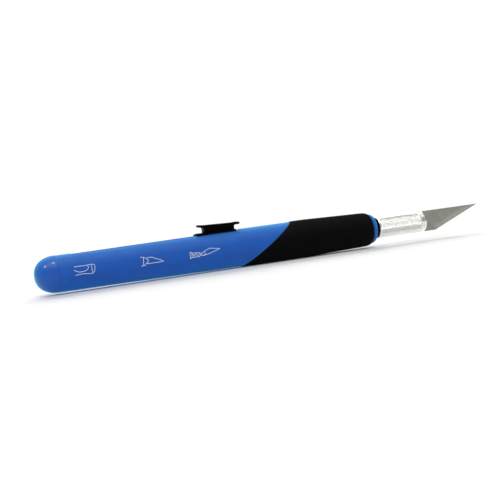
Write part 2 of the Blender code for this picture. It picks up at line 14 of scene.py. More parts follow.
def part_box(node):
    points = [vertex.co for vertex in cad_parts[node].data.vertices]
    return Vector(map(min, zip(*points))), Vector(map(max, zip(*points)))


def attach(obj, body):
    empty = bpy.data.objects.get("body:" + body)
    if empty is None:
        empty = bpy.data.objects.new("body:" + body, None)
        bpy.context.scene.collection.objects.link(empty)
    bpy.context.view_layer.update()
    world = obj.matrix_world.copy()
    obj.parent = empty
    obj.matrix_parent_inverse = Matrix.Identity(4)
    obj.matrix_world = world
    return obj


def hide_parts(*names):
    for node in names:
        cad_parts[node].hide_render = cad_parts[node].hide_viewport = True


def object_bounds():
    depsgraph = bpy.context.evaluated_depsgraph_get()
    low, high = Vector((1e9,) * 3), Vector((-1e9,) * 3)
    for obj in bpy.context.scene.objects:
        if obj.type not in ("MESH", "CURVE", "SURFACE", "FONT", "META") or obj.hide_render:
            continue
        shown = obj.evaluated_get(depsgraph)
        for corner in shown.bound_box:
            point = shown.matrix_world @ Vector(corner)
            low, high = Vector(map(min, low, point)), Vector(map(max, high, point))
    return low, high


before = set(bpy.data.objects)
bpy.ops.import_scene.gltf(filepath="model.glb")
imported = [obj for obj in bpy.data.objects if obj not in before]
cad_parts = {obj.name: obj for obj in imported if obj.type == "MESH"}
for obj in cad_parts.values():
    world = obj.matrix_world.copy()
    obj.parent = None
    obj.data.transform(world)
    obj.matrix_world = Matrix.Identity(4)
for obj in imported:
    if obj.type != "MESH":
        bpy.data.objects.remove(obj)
cad_low, cad_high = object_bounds()

MM = 0.001
CAD_SIDES = 20                # facets of the CAD's turned pieces
SIDES = 160                   # columns round the turned pieces
PIN_SIDES = 64                # columns round the pins and their holes
GAP = 0.1 * MM                # clearance between neighbouring pieces


def turned_radius(node):
    """Radius of a turned CAD node, whose facets are a little narrower than the circle."""
    low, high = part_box(node)
    return (high.y - low.y) / 2 / cos(pi / CAD_SIDES)


def stations(node):
    """Where a node starts and ends along the axis, from the handle's rear end."""
    low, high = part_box(node)
    return low.x - cad_low.x, high.x - cad_low.x


AXIS_Z = sum(corner.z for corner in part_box("chuck_collar")) / 2

# Handle
CAP_R = turned_radius("end_cap")
BARREL_R = turned_radius("barrel")
GRIP_R = turned_radius("grip_sleeve")
GRIP_NECK_R = 4.96 * MM       # where the sleeve's taper ends
RIM_R = turned_radius("nose_bush")
CORE_R = 4.5 * MM             # the barrel inside the sleeve
CORE_NECK_R = 4.3 * MM
S_BARREL, S_BARREL_END = stations("barrel")
S_CAP_END = stations("end_cap")[1]
S_SEAM = S_BARREL - GAP / 2
S_RIM = stations("grip_sleeve")[1] + GAP / 2
S_NOSE = stations("nose_bush")[1]
S_GRIP_LOW = 57.0 * MM        # slanted rear edge of the sleeve: lowest and highest point
S_GRIP_HIGH = 72.9 * MM
S_GRIP_TAPER = 77.0 * MM      # where the sleeve's taper starts and ends
S_GRIP_NECK = 95.1 * MM
S_CORE_TAPER = 92.0 * MM

# Track and slot on top of the barrel, and the rail's groove in its bore
TRACK_Z = 4.93 * MM           # above the axis
S_TRACK_END = 56.6 * MM
S_TRACK_RAMP = 57.8 * MM
SLOT_HALF = 1.65 * MM
S_SLOT = (10.2 * MM, 56.5 * MM)
SLOT_ROUNDING = 0.12 * MM
GROOVE_HALF = 2.4 * MM
GROOVE_Z = (3.03 * MM, 3.63 * MM)

# Bores
SHUTTLE_BORE_R = 3.9 * MM
ROD_BORE_R = 3.4 * MM
BUSH_BORE_R = 3.2 * MM
S_BORE_STEP = 64.0 * MM       # between the shuttle's bore and the rod's
S_SOCKET = 89.0 * MM          # start of the socket that holds the nose bush
SOCKET_R = 3.75 * MM
LIP_R = 3.95 * MM             # neck of the nose rim, inside the sleeve


# ---------------------------------------------------------------- mesh helpers

def at(s, y, z):
    """The point at station s, at side y and height z from the axis."""
    return Vector((cad_low.x + s, y, AXIS_Z + z))


def arc(centre_s, centre_r, radius_s, radius_r, start, end, steps):
    """Profile points on an ellipse arc, from angle start to end in degrees, 0 pointing to +s."""
    points = []
    for k in range(steps + 1):
        a = radians(start + (end - start) * k / steps)
        points.append((centre_s + radius_s * cos(a), centre_r + radius_r * sin(a)))
    return points


def rear_corner(s, r, rounding, steps=4):
    """A rounded corner from a rear face at station s up to radius r."""
    return arc(s + rounding, r - rounding, rounding, rounding, 180, 90, steps)


def front_corner(s, r, rounding, steps=4):
    """A rounded corner from radius r down to a front face at station s."""
    return arc(s - rounding, r - rounding, rounding, rounding, 90, 0, steps)


def between(start, end, steps):
    """Even steps from start, which is left out, to end."""
    return [start + (end - start) * k / steps for k in range(1, steps + 1)]


def turns(count):
    """Even angles round a full turn."""
    return [2 * pi * k / count for k in range(count)]


def join_rings(bm, rings, closed):
    """Quads between neighbouring rings of equally many vertices. A ring of one vertex is a pole."""
    count = len(rings) if closed else len(rings) - 1
    for i in range(count):
        a = rings[i]
        b = rings[(i + 1) % len(rings)]
        for k in range(max(len(a), len(b))):
            n = (k + 1) % max(len(a), len(b))
            if len(a) == 1:
                bm.faces.new((a[0], b[k], b[n]))
            elif len(b) == 1:
                bm.faces.new((a[k], b[0], a[n]))
            else:
                bm.faces.new((a[k], b[k], b[n], a[n]))


def lathe(profile):
    """A closed solid, turned from a ring of (s, r) points, or from a line of them between two poles."""
    bm = bmesh.new()
    rings = []
    for s, r in profile:
        if r <= 0:
            rings.append([bm.verts.new(at(s, 0, 0))])
        else:
            rings.append([bm.verts.new(at(s, r * cos(a), r * sin(a))) for a in turns(SIDES)])
    join_rings(bm, rings, closed=len(rings[0]) > 1)
    return bm


def block(s, y, z):
    """A box over a range of stations, sides and heights."""
    bm = bmesh.new()
    low, high = at(s[0], y[0], z[0]), at(s[1], y[1], z[1])
    for v in bmesh.ops.create_cube(bm, size=1.0)["verts"]:
        v.co = Vector([low[i] + (v.co[i] + 0.5) * (high[i] - low[i]) for i in range(3)])
    return bm


def extruded(outline, half):
    """An outline of (s, z) points, extruded from y = -half to y = +half."""
    bm = bmesh.new()
    near, far = ([bm.verts.new(at(s, y, z)) for s, z in outline] for y in (-half, half))
    bm.faces.new(near)
    bm.faces.new(far)
    for k in range(len(outline)):
        n = (k + 1) % len(outline)
        bm.faces.new((near[k], far[k], far[n], near[n]))
    return bm


def cross_pin(s, radius, half, rounding=0.0):
    """A pin along Y through the axis at station s, with softened ends."""
    bm = bmesh.new()
    rows = [(-half, radius - rounding), (half, radius - rounding)]
    if rounding:
        rows[1:1] = [(-half + rounding, radius), (half - rounding, radius)]
    rings = [[bm.verts.new(at(s + r * cos(a), y, r * sin(a))) for a in turns(PIN_SIDES)] for y, r in rows]
    join_rings(bm, rings, closed=False)
    bm.faces.new(rings[0])
    bm.faces.new(rings[-1])
    return bm


def to_mesh(name, bm):
    """Turns a bmesh into a mesh whose faces all point outward, and frees it."""
    bmesh.ops.recalc_face_normals(bm, faces=bm.faces)
    mesh = bpy.data.meshes.new(name)
    bm.to_mesh(mesh)
    bm.free()
    return mesh


def add_object(name, data):
    """A new object in the scene, which shows a mesh, a light or a camera."""
    obj = bpy.data.objects.new(name, data)
    bpy.context.scene.collection.objects.link(obj)
    return obj


def apply_modifiers(obj):
    """Replaces the object's mesh by what its modifiers make of it."""
    depsgraph = bpy.context.evaluated_depsgraph_get()
    mesh = bpy.data.meshes.new_from_object(obj.evaluated_get(depsgraph))
    obj.modifiers.clear()
    old = obj.data
    obj.data = mesh
    bpy.data.meshes.remove(old)


def combine(bm, operation, others):
    """The solid in bm, with each of the other solids cut from it or joined to it."""
    obj = add_object("blank", to_mesh("blank", bm))
    tools = []
    for other in others:
        tool = add_object("tool", to_mesh("tool", other))
        mod = obj.modifiers.new("combine", "BOOLEAN")
        mod.operation = operation
        mod.solver = "EXACT"
        mod.object = tool
        tools.append(tool)
    apply_modifiers(obj)
    result = bmesh.new()
    result.from_mesh(obj.data)
    for spent in (obj, *tools):
        mesh = spent.data
        bpy.data.objects.remove(spent)
        bpy.data.meshes.remove(mesh)
    return result


BEVEL_SEGMENTS = 3
BEVEL_ANGLE = 35              # degrees from which an edge is beveled


def piece(name, bm, body, mat, node=None, bevel=0.0, smooth=30):
    """Makes the visible piece that rides on a body and, if a node is given, stands for that CAD node.

    Edges up to the angle smooth, in degrees, are shaded smooth.
    """
    obj = add_object(name, to_mesh(name, bm))
    if bevel:
        mod = obj.modifiers.new("bevel", "BEVEL")
        mod.width = bevel
        mod.segments = BEVEL_SEGMENTS
        mod.limit_method = "ANGLE"
        mod.angle_limit = radians(BEVEL_ANGLE)
        apply_modifiers(obj)
    if smooth:
        obj.data.shade_smooth()
        obj.data.set_sharp_from_angle(angle=radians(smooth))
    obj.data.materials.clear()
    obj.data.materials.append(mat)
    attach(obj, body)
    if node:
        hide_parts(node)
    return obj


# ---------------------------------------------------------------- materials

NOISE_LOW, NOISE_HIGH = 0.3, 0.7      # nearly all of a noise texture's values lie between these


def shade(colour, factor):
    """The colour, made darker or lighter by a factor."""
    return tuple(min(1.0, c * factor) for c in colour)


class Nodes:
    """A material's node tree, whose texture coordinates are the object's own, in millimetres."""

    def __init__(self, name):
        self.material = bpy.data.materials.new(name)
        self.material.use_nodes = True
        self.tree = self.material.node_tree
        self.shader = self.tree.nodes["Principled BSDF"]
        coordinates = self.add("ShaderNodeTexCoord")
        self.scaled = self.add("ShaderNodeMapping")
        self.scaled.inputs["Scale"].default_value = (1 / MM, 1 / MM, 1 / MM)
        self.link(coordinates.outputs["Object"], self.scaled.inputs["Vector"])

    def add(self, kind, **settings):
        """A new node of a kind, with the given settings."""
        node = self.tree.nodes.new(kind)
        for key, value in settings.items():
            setattr(node, key, value)
        return node

    def link(self, output, socket):
        """Feeds an output into a node's input socket."""
        self.tree.links.new(output, socket)

    def set(self, **values):
        """Sets sockets of the shader, named with underscores for spaces."""
        for key, value in values.items():
            self.shader.inputs[key.replace("_", " ")].default_value = value

    def stretched(self, scale):
        """The coordinates, stretched by a scale for each axis."""
        mapping = self.add("ShaderNodeMapping")
        mapping.inputs["Scale"].default_value = scale
        self.link(self.scaled.outputs["Vector"], mapping.inputs["Vector"])
        return mapping.outputs["Vector"]

    def noise(self, scale, detail=2.0, vector=None, roughness=0.5):
        """A noise texture whose features are about 1 / scale millimetres apart."""
        node = self.add("ShaderNodeTexNoise")
        node.inputs["Scale"].default_value = scale
        node.inputs["Detail"].default_value = detail
        node.inputs["Roughness"].default_value = roughness
        self.link(vector or self.scaled.outputs["Vector"], node.inputs["Vector"])
        return node.outputs["Fac"]

    def grains(self, scale):
        """Distance to the nearest grain: a pebbled surface."""
        node = self.add("ShaderNodeTexVoronoi")
        node.inputs["Scale"].default_value = scale
        self.link(self.scaled.outputs["Vector"], node.inputs["Vector"])
        return node.outputs["Distance"]

    def between(self, factor, low, high, start, end):
        """A number that goes from low to high as the factor goes from start to end."""
        node = self.add("ShaderNodeMapRange")
        node.inputs["From Min"].default_value = start
        node.inputs["From Max"].default_value = end
        node.inputs["To Min"].default_value = low
        node.inputs["To Max"].default_value = high
        self.link(factor, node.inputs["Value"])
        return node.outputs["Result"]

    def colours(self, factor, stops):
        """A colour that follows the factor through (place, colour) stops."""
        node = self.add("ShaderNodeValToRGB")
        ramp = node.color_ramp
        for element, (place, colour) in zip(ramp.elements, (stops[0], stops[-1])):
            element.position = place
            element.color = (*colour, 1.0)
        for place, colour in stops[1:-1]:
            ramp.elements.new(place).color = (*colour, 1.0)
        self.link(factor, node.inputs["Fac"])
        return node.outputs["Color"]

    def bump(self, height, depth, below=None):
        """A bump whose full height is depth, in millimetres, on top of the bump below."""
        node = self.add("ShaderNodeBump")
        node.inputs["Strength"].default_value = 1.0
        node.inputs["Distance"].default_value = depth * MM
        self.link(height, node.inputs["Height"])
        if below:
            self.link(below, node.inputs["Normal"])
        return node.outputs["Normal"]

    def to(self, name, output):
        """Feeds the shader's socket of that name."""
        self.link(output, self.shader.inputs[name])

    def vary_colour(self, factor, colour, low, high, start=NOISE_LOW, end=NOISE_HIGH):
        """Colours the surface from low to high times the colour, as the factor goes from start to end."""
        self.to("Base Color", self.colours(factor, [(start, shade(colour, low)), (end, shade(colour, high))]))

    def vary_gloss(self, factor, low, high):
        """Lets the roughness follow a noise from low to high."""
        self.to("Roughness", self.between(factor, low, high, NOISE_LOW, NOISE_HIGH))


def moulded_plastic(name, colour, roughness, specular, sheen=0.0, coat=0.0):
    """Smooth moulded plastic: faint colour clouding, a fine satin grain and slow unevenness of gloss."""
    n = Nodes(name)
    clouds = n.noise(0.35, 3.0)
    satin = n.noise(9.0)
    waves = n.noise(0.8, 1.0)
    n.vary_colour(clouds, colour, 0.95, 1.05)
    n.vary_gloss(n.noise(1.2, 4.0), roughness - 0.04, roughness + 0.05)
    n.to("Normal", n.bump(waves, 0.006, n.bump(satin, 0.0015)))
    n.set(Specular_IOR_Level=specular, Sheen_Weight=sheen, Sheen_Roughness=0.5,
          Sheen_Tint=(0.12, 0.8, 1.0, 1.0), Coat_Weight=coat, Coat_Roughness=0.11)
    return n.material


def soft_rubber(name, colour, roughness, specular=0.3):
    """Matte rubber: a pebbled grain, dusty high spots and a faint sheen."""
    n = Nodes(name)
    grain = n.grains(5.5)
    dust = n.noise(0.6, 5.0, roughness=0.65)
    n.vary_colour(dust, colour, 0.8, 1.35, start=0.35)
    n.vary_gloss(dust, roughness - 0.06, roughness + 0.06)
    n.to("Normal", n.bump(n.noise(14.0), 0.004, n.bump(grain, 0.012)))
    n.set(Specular_IOR_Level=specular, Sheen_Weight=0.01, Sheen_Roughness=0.5)
    return n.material


def turned_metal(name, colour, roughness):
    """Metal turned on a lathe: fine rings across the axis and slightly uneven gloss."""
    n = Nodes(name)
    rings = n.noise(1.0, 3.0, n.stretched((7.0, 0.25, 0.25)), 0.7)
    spots = n.noise(1.5, 3.0)
    n.vary_colour(spots, colour, 0.94, 1.03)
    n.vary_gloss(rings, roughness - 0.06, roughness + 0.08)
    n.to("Normal", n.bump(rings, 0.0012))
    n.set(Metallic=1.0)
    return n.material


def ground_steel(name, colour, roughness):
    """Steel ground in one direction: fine lines along X that vary in tone, gloss and height."""
    n = Nodes(name)
    lines = n.noise(1.0, 4.0, n.stretched((0.35, 9.0, 9.0)), 0.75)
    patches = n.noise(0.45, 3.0)
    mixed = n.add("ShaderNodeMath", operation="ADD")
    n.link(n.between(lines, -0.5, 0.5, 0.25, 0.75), mixed.inputs[0])
    n.link(patches, mixed.inputs[1])
    n.vary_colour(mixed.outputs["Value"], colour, 0.88, 1.12, start=0.15, end=0.85)
    n.vary_gloss(lines, roughness - 0.07, roughness + 0.07)
    n.to("Normal", n.bump(lines, 0.0015))
    n.set(Metallic=1.0)
    return n.material


def printed_ink(name, colour):
    """Thin silver print with slightly broken coverage."""
    n = Nodes(name)
    cover = n.noise(6.0, 3.0)
    n.vary_colour(cover, colour, 0.82, 1.0, end=0.6)
    n.vary_gloss(cover, 0.35, 0.5)
    n.to("Normal", n.bump(cover, 0.002))
    n.set(Metallic=0.35)
    return n.material


BLUE_COLOUR = (0.009, 0.059, 0.3)
BLUE = moulded_plastic("blue_plastic", BLUE_COLOUR, 0.5, specular=0.15, sheen=0.55)
GLOSSY_BLUE = moulded_plastic("glossy_blue_plastic", BLUE_COLOUR, 0.42, specular=0.14, sheen=0.45, coat=0.2)
BLACK = moulded_plastic("black_plastic", (0.0005, 0.0005, 0.0006), 0.4, specular=0.03)
RUBBER = soft_rubber("grip_rubber", (0.001, 0.001, 0.001), 0.65, specular=0.05)
INNER_RUBBER = soft_rubber("inner_rubber", (0.02, 0.02, 0.02), 0.75)
RAIL_STEEL = ground_steel("rail_steel", (0.5, 0.5, 0.5), 0.34)
ROD_STEEL = turned_metal("rod_steel", (0.55, 0.55, 0.54), 0.24)
SPRING_STEEL = ground_steel("spring_steel", (0.3, 0.32, 0.37), 0.3)
BLADE_STEEL = ground_steel("blade_steel", (0.36, 0.36, 0.32), 0.48)
BRASS = turned_metal("collet_brass", (0.68, 0.49, 0.21), 0.26)
ALUMINIUM = turned_metal("collar_aluminium", (0.96, 0.955, 0.92), 0.32)
INK = printed_ink("silver_print", (0.5, 0.54, 0.6))


# ---------------------------------------------------------------- handle

SLANT = (S_GRIP_HIGH - S_GRIP_LOW) / (2 * BARREL_R)


def slant(r, angle):
    """Station of the slanted plane where the sleeve starts, at radius r and an angle round the axis."""
    return (S_GRIP_LOW + S_GRIP_HIGH) / 2 + SLANT * r * sin(angle)


def slant_stretch(angle):
    """Distance along the axis for one unit of distance square to the slanted edge, on the surface."""
    return sqrt(1 + (SLANT * cos(angle)) ** 2)


def barrel_radius(s):
    """Outside radius of the barrel, which widens slowly from the cap to the sleeve."""
    t = min(1.0, max(0.0, (s - S_SEAM) / (S_GRIP_LOW - S_SEAM)))
    return CAP_R + (BARREL_R - CAP_R) * t


DOME_POWER = 2.25             # a little squarer than an ellipse
SEAM_GAP = 0.05 * MM          # a hairline between the cap and the barrel
SEAM_EDGE = 0.08 * MM         # rounding of the two edges there


def make_end_cap():
    """Rounded rear end. Its plug fits the barrel's bore, and a soft edge meets the barrel at the seam."""
    dome = 6.0 * MM
    dome_steps = 32
    seam = S_SEAM - SEAM_GAP / 2
    plug_r = SHUTTLE_BORE_R - GAP
    chamfer = 0.3 * MM
    hollow_r = 2.8 * MM
    s_hollow, s_hollow_tip = 3.4 * MM, 2.6 * MM
    profile = [(0.0, 0)]
    for k in range(1, dome_steps + 1):
        a = pi / 2 * k / dome_steps
        profile.append((dome * (1 - cos(a) ** (2 / DOME_POWER)), CAP_R * sin(a) ** (2 / DOME_POWER)))
    profile += front_corner(seam, CAP_R, SEAM_EDGE, 5)
    profile += [(seam, plug_r), (S_CAP_END - chamfer, plug_r), (S_CAP_END, plug_r - chamfer),
                (S_CAP_END, hollow_r), (s_hollow, hollow_r), (s_hollow_tip, 0)]
    piece("end_cap_shell", lathe(profile), "handle", GLOSSY_BLUE, "end_cap")


class Section:
    """One cross-section of the barrel: columns at fixed y over the top, and even angles elsewhere."""

    rounding = [SLOT_HALF + SLOT_ROUNDING * (1 - cos(radians(a))) for a in (30, 60, 90)]
    tops = [0, 0.5 * MM, 0.9 * MM, 1.2 * MM, 1.45 * MM, SLOT_HALF, *rounding, 1.84 * MM, 1.92 * MM,
            2.0 * MM, 2.1 * MM, 2.3 * MM]
    around = 60               # columns from the last top column round to the bottom
    flat_blend = 0.05 * MM    # softness of the track's two side edges
    no_flat = 1.0             # metres, far above the barrel

    @classmethod
    def columns(cls):
        """(kind, value) for each column, counter-clockwise seen from the front, from the top centre."""
        left = [("top", y) for y in cls.tops]
        side = [("side", k / cls.around) for k in range(1, 2 * cls.around)]
        right = [("top", -y) for y in reversed(cls.tops[1:])]
        return left + side + right

    @classmethod
    def point(cls, column, r, flat=no_flat):
        """(y, z) of a column at radius r, lowered to the flat's height where that is lower."""
        kind, value = column
        if kind == "top":
            return value, soft_min(sqrt(r * r - value * value), flat, cls.flat_blend)
        start = acos(cls.tops[-1] / r)
        angle = start - value * (start + pi / 2)
        return r * cos(angle), r * sin(angle)


def soft_min(a, b, blend):
    """The smaller of two lengths, rounded off where they differ by less than the blend."""
    near = max(blend - abs(a - b), 0.0) / blend
    return min(a, b) - near * near * blend / 4


def flat_height(s):
    """Height of the track, which ramps up to the barrel's surface at its front end."""
    t = min(1.0, max(0.0, (s - S_TRACK_END) / (S_TRACK_RAMP - S_TRACK_END)))
    return TRACK_Z + (BARREL_R + GAP - TRACK_Z) * t


def slot_drop(s, y):
    """How far the soft edge round the slot lies below the surface."""
    beyond_y = max(abs(y) - SLOT_HALF, 0.0)
    beyond_s = max(S_SLOT[0] - s, s - S_SLOT[1], 0.0)
    distance = hypot(beyond_y, beyond_s)
    if distance >= SLOT_ROUNDING:
        return 0.0
    return SLOT_ROUNDING - sqrt(SLOT_ROUNDING ** 2 - (SLOT_ROUNDING - distance) ** 2)


def barrel_stations():
    """Stations of the straight rows, and the numbers of the rows at the slot's two ends."""
    edge = [SLOT_ROUNDING * (1 - cos(radians(a))) for a in (90, 60, 30)]
    rear = S_SEAM + SEAM_GAP / 2 + SEAM_EDGE
    halfway = 8 * MM
    slot_steps = 24
    rows = [rear, halfway] + [S_SLOT[0] - e for e in edge]
    first = len(rows)
    rows += [S_SLOT[0]] + between(S_SLOT[0], S_SLOT[1], slot_steps)
    last = len(rows) - 1
    rows += [S_SLOT[1] + e for e in reversed(edge)]
    return rows, first, last


STEP_ROUNDING = 0.16 * MM     # edge of the slanted step that the sleeve meets
# Rows from the last straight one to the step, as parts of the way, and close where the track ramps up
SLANT_ROWS = (0.012, 0.025, 0.04, 0.055, 0.07, 0.085, 0.1, 0.13, 0.2, 0.4, 0.6, 0.8, 0.9)


def make_barrel():
    """Blue tube with a flat track and a soft-edged slot on top, and a slanted step that the sleeve meets."""
    bm = bmesh.new()
    columns = Section.columns()
    rows, first, last = barrel_stations()
    rings = []

    def add_ring(r, s, flat=Section.no_flat, drop=False):
        """A ring at radius r. The station s is a number, or a function of (r, angle)."""
        ring = []
        for column in columns:
            y, z = Section.point(column, r, flat)
            here = s(hypot(y, z), atan2(z, y)) if callable(s) else s
            if drop and z > 0:
                z -= slot_drop(here, y)
            ring.append(bm.verts.new(at(here, y, z)))
        rings.append(ring)

    for s, r in rear_corner(S_SEAM + SEAM_GAP / 2, CAP_R, SEAM_EDGE)[:-1]:
        add_ring(r, s, TRACK_Z - (CAP_R - r))
    seam_rings = len(rings)
    for s in rows:
        add_ring(barrel_radius(s), s, flat_height(s), drop=True)
    for t in SLANT_ROWS:
        rings.append(slanted_ring(bm, columns, rows[-1], t))
    for a in (90, 60, 30, 0):
        back = STEP_ROUNDING * (1 - cos(radians(a)))
        down = STEP_ROUNDING * (1 - sin(radians(a)))
        add_ring(BARREL_R - down, lambda r, angle: slant(r, angle) - back * slant_stretch(angle))
    for r, s in ((CORE_R, slant), (CORE_R, S_CORE_TAPER), (CORE_NECK_R, S_BARREL_END),
                 (SOCKET_R, S_BARREL_END), (SOCKET_R, S_SOCKET), (ROD_BORE_R, S_SOCKET),
                 (ROD_BORE_R, S_BORE_STEP), (SHUTTLE_BORE_R, S_BORE_STEP)):
        add_ring(r, s)
    bore_rings = len(rings)
    for s in (*reversed(rows), S_BARREL):
        add_ring(SHUTTLE_BORE_R, s)

    cut_slot(bm, rings, columns, seam_rings + first, seam_rings + last, bore_rings + len(rows) - 1 - first)
    groove = block((0, stations("lock_rail")[1] + GAP), (-GROOVE_HALF, GROOVE_HALF), GROOVE_Z)
    barrel = combine(bm, "DIFFERENCE", [groove])
    piece("barrel_shell", barrel, "handle", BLUE, "barrel")


def slanted_ring(bm, columns, start, t):
    """A ring of the barrel's outside, a part t of the way from station start to the slanted step."""
    ring = []
    for column in columns:
        y, z = Section.point(column, BARREL_R)
        s = start + (slant(BARREL_R, atan2(z, y)) - start - STEP_ROUNDING) * t
        y, z = Section.point(column, barrel_radius(s), flat_height(s))
        ring.append(bm.verts.new(at(s, y, z)))
    return ring


def cut_slot(bm, rings, columns, first, last, inner_first):
    """Closes the grid of rings, leaving out the slot, and adds the slot's walls.

    The slot goes from ring first to ring last outside, and starts at ring inner_first in the bore.
    """
    count = len(columns)
    edge = columns.index(("top", SLOT_HALF))
    inside = set(range(edge)) | set(range(count - edge, count))
    inner_last = inner_first - (last - first)
    for i in range(len(rings)):
        n = (i + 1) % len(rings)
        in_slot = first <= i < last or inner_last <= i < inner_first
        for k in range(count):
            if in_slot and k in inside:
                continue
            m = (k + 1) % count
            bm.faces.new((rings[i][k], rings[n][k], rings[n][m], rings[i][m]))
    for i in range(first, last):
        j = inner_first - (i - first)
        for k in (edge, count - edge):
            bm.faces.new((rings[i][k], rings[i + 1][k], rings[j - 1][k], rings[j][k]))
    for i, j in ((first, inner_first), (last, inner_last)):
        for k in inside:
            m = (k + 1) % count
            bm.faces.new((rings[i][k], rings[i][m], rings[j][m], rings[j][k]))


def make_grip_sleeve():
    """Rubber sleeve with a soft slanted rear edge, a long taper and a rounded front shoulder."""
    bm = bmesh.new()
    edge = 0.3 * MM
    rim = S_RIM - GAP / 2
    inner_r = CORE_R + GAP
    lip_r = LIP_R + GAP
    shoulder = (90, 8)        # degrees where its arc starts and ends
    rings = []

    def add_ring(r, s):
        """A ring at radius r. The station s is a number, or a function of the angle."""
        rings.append([bm.verts.new(at(s(a) if callable(s) else s, r * cos(a), r * sin(a)))
                      for a in turns(SIDES)])

    def rear(r, back=0.0):
        return lambda a: slant(r, a) + GAP + back * slant_stretch(a)

    add_ring(inner_r, rear(inner_r))
    for a in (0, 22, 45, 68, 90):
        r = GRIP_R - edge * (1 - sin(radians(a)))
        add_ring(r, rear(r, edge * (1 - cos(radians(a)))))
    start = rear(GRIP_R, edge)
    for t in (0.2, 0.4, 0.6, 0.8):
        add_ring(GRIP_R, lambda a: start(a) + (S_GRIP_TAPER - MM - start(a)) * t)
    taper = GRIP_R - GRIP_NECK_R
    for s, drop in ((-MM, 0.0), (0.0, 0.006), (MM, 0.03)):
        add_ring(GRIP_R - taper * drop, S_GRIP_TAPER + s)
    for s in between(S_GRIP_TAPER + MM, S_GRIP_NECK, 8)[:-1]:
        add_ring(GRIP_R - taper * (s - S_GRIP_TAPER) / (S_GRIP_NECK - S_GRIP_TAPER), s)
    for s, r in arc(S_GRIP_NECK, RIM_R, rim - S_GRIP_NECK, GRIP_NECK_R - RIM_R, *shoulder, 12):
        add_ring(r, s)
    for r, s in ((lip_r, rim), (lip_r, S_BARREL_END + GAP), (CORE_NECK_R + GAP, S_BARREL_END + GAP),
                 (inner_r, S_CORE_TAPER)):
        add_ring(r, s)
    join_rings(bm, rings, closed=True)
    piece("rubber_grip", bm, "handle", RUBBER, "grip_sleeve", smooth=40)


def make_nose():
    """Guide bush whose flange carries the rounded blue rim at the front of the handle."""
    rear = stations("nose_bush")[0]
    flange = S_BARREL_END + 1.2 * GAP
    rim_rear = S_RIM + GAP / 2
    land = 0.25 * MM
    mouth = 0.15 * MM
    profile = [(rear, SOCKET_R - GAP), (flange, SOCKET_R - GAP), (flange, LIP_R), (rim_rear, LIP_R),
               (rim_rear, RIM_R)]
    profile += arc(rim_rear + land, BUSH_BORE_R + land, S_NOSE - rim_rear - land, RIM_R - BUSH_BORE_R - land,
                   90, 0, 14)
    profile += [(S_NOSE, BUSH_BORE_R + mouth), (S_NOSE - mouth, BUSH_BORE_R), (rear, BUSH_BORE_R)]
    piece("nose_rim", lathe(profile), "handle", BLUE, "nose_bush", smooth=40)


make_end_cap()
make_barrel()
make_grip_sleeve()
make_nose()


# ---------------------------------------------------------------- chuck

KNURLS = 32                   # diamonds round the collar
KNURL_DEPTH = 0.17 * MM
KNURL_TOP = 0.3               # size of each diamond's flat top, as a part of its base
CHUCK_BORE_R = 2.3 * MM


def make_washer():
    """Black ring behind the collar."""
    rear, front = stations("chuck_washer")
    r = turned_radius("chuck_washer")
    edge = 0.15 * MM
    profile = [(rear, CHUCK_BORE_R), *rear_corner(rear, r, edge), *front_corner(front, r, edge),
               (front, CHUCK_BORE_R)]
    piece("washer_ring", lathe(profile), "carriage", BLACK, "chuck_washer", smooth=40)


def make_collar():
    """Aluminium collar with a cut diamond knurl between a narrow rear land and a rounded front rim.

    The knurl is a grid of points (i, j) along and round the collar. Where i + j is even there is a valley
    point, and where it is odd a diamond whose four corners are its neighbours.
    """
    rear, front = stations("chuck_collar")
    r = turned_radius("chuck_collar")
    columns = 2 * KNURLS
    half_pitch = pi * r / KNURLS
    rear_land, front_rim = 0.45 * MM, 1.15 * MM
    knurl_start = rear + rear_land
    rows = int((front - front_rim - knurl_start) / half_pitch) // 2 * 2
    knurl_end = knurl_start + rows * half_pitch
    bm = bmesh.new()

    def point(s, radius, column):
        angle = pi * column / KNURLS
        return bm.verts.new(at(s, radius * cos(angle), radius * sin(angle)))

    grid = {}
    for i in range(rows + 1):
        for j in range(columns):
            if (i + j) % 2 == 0 or i in (0, rows):
                grid[i, j] = point(knurl_start + i * half_pitch, r - KNURL_DEPTH, j)
    for i in range(rows + 1):
        for j in range(columns):
            if (i + j) % 2 == 0:
                continue
            corners = [(i, j - 1), (i + 1, j), (i, j + 1), (i - 1, j)]
            if i in (0, rows):
                kept = corners[:3] if i == 0 else [corners[0], corners[3], corners[2]]
                a, b, c = (grid[p[0], p[1] % columns] for p in kept)
                bm.faces.new((grid[i, j], a, b))
                bm.faces.new((grid[i, j], b, c))
                continue
            low = [grid[p[0], p[1] % columns] for p in corners]
            high = [point(knurl_start + (i + (p[0] - i) * KNURL_TOP) * half_pitch, r,
                          j + (p[1] - j) * KNURL_TOP) for p in corners]
            bm.faces.new(high)
            for k in range(4):
                n = (k + 1) % 4
                bm.faces.new((low[k], low[n], high[n], high[k]))

    edge, nose = 0.2 * MM, 0.5 * MM
    runout, lowered = 0.1 * MM, 0.02 * MM
    chamfer = 0.1 * MM
    pocket_r = 2.7 * MM
    pocket_rear, pocket_front = 110.8 * MM, 114.75 * MM
    profile = [(knurl_end + runout, r - lowered), *front_corner(front, r, nose, 10),
               (front, CHUCK_BORE_R + chamfer), (front - chamfer, CHUCK_BORE_R), (pocket_front, CHUCK_BORE_R),
               (pocket_front, pocket_r), (pocket_rear, pocket_r), (pocket_rear, CHUCK_BORE_R),
               (rear, CHUCK_BORE_R), *rear_corner(rear, r, edge), (knurl_start - runout, r - lowered)]
    rings = [[grid[rows, j] for j in range(columns)]]
    rings += [[point(s, radius, j) for j in range(columns)] for s, radius in profile]
    rings += [[grid[0, j] for j in range(columns)]]
    join_rings(bm, rings, closed=False)
    return piece("knurled_collar", bm, "collar", ALUMINIUM, "chuck_collar", smooth=24)


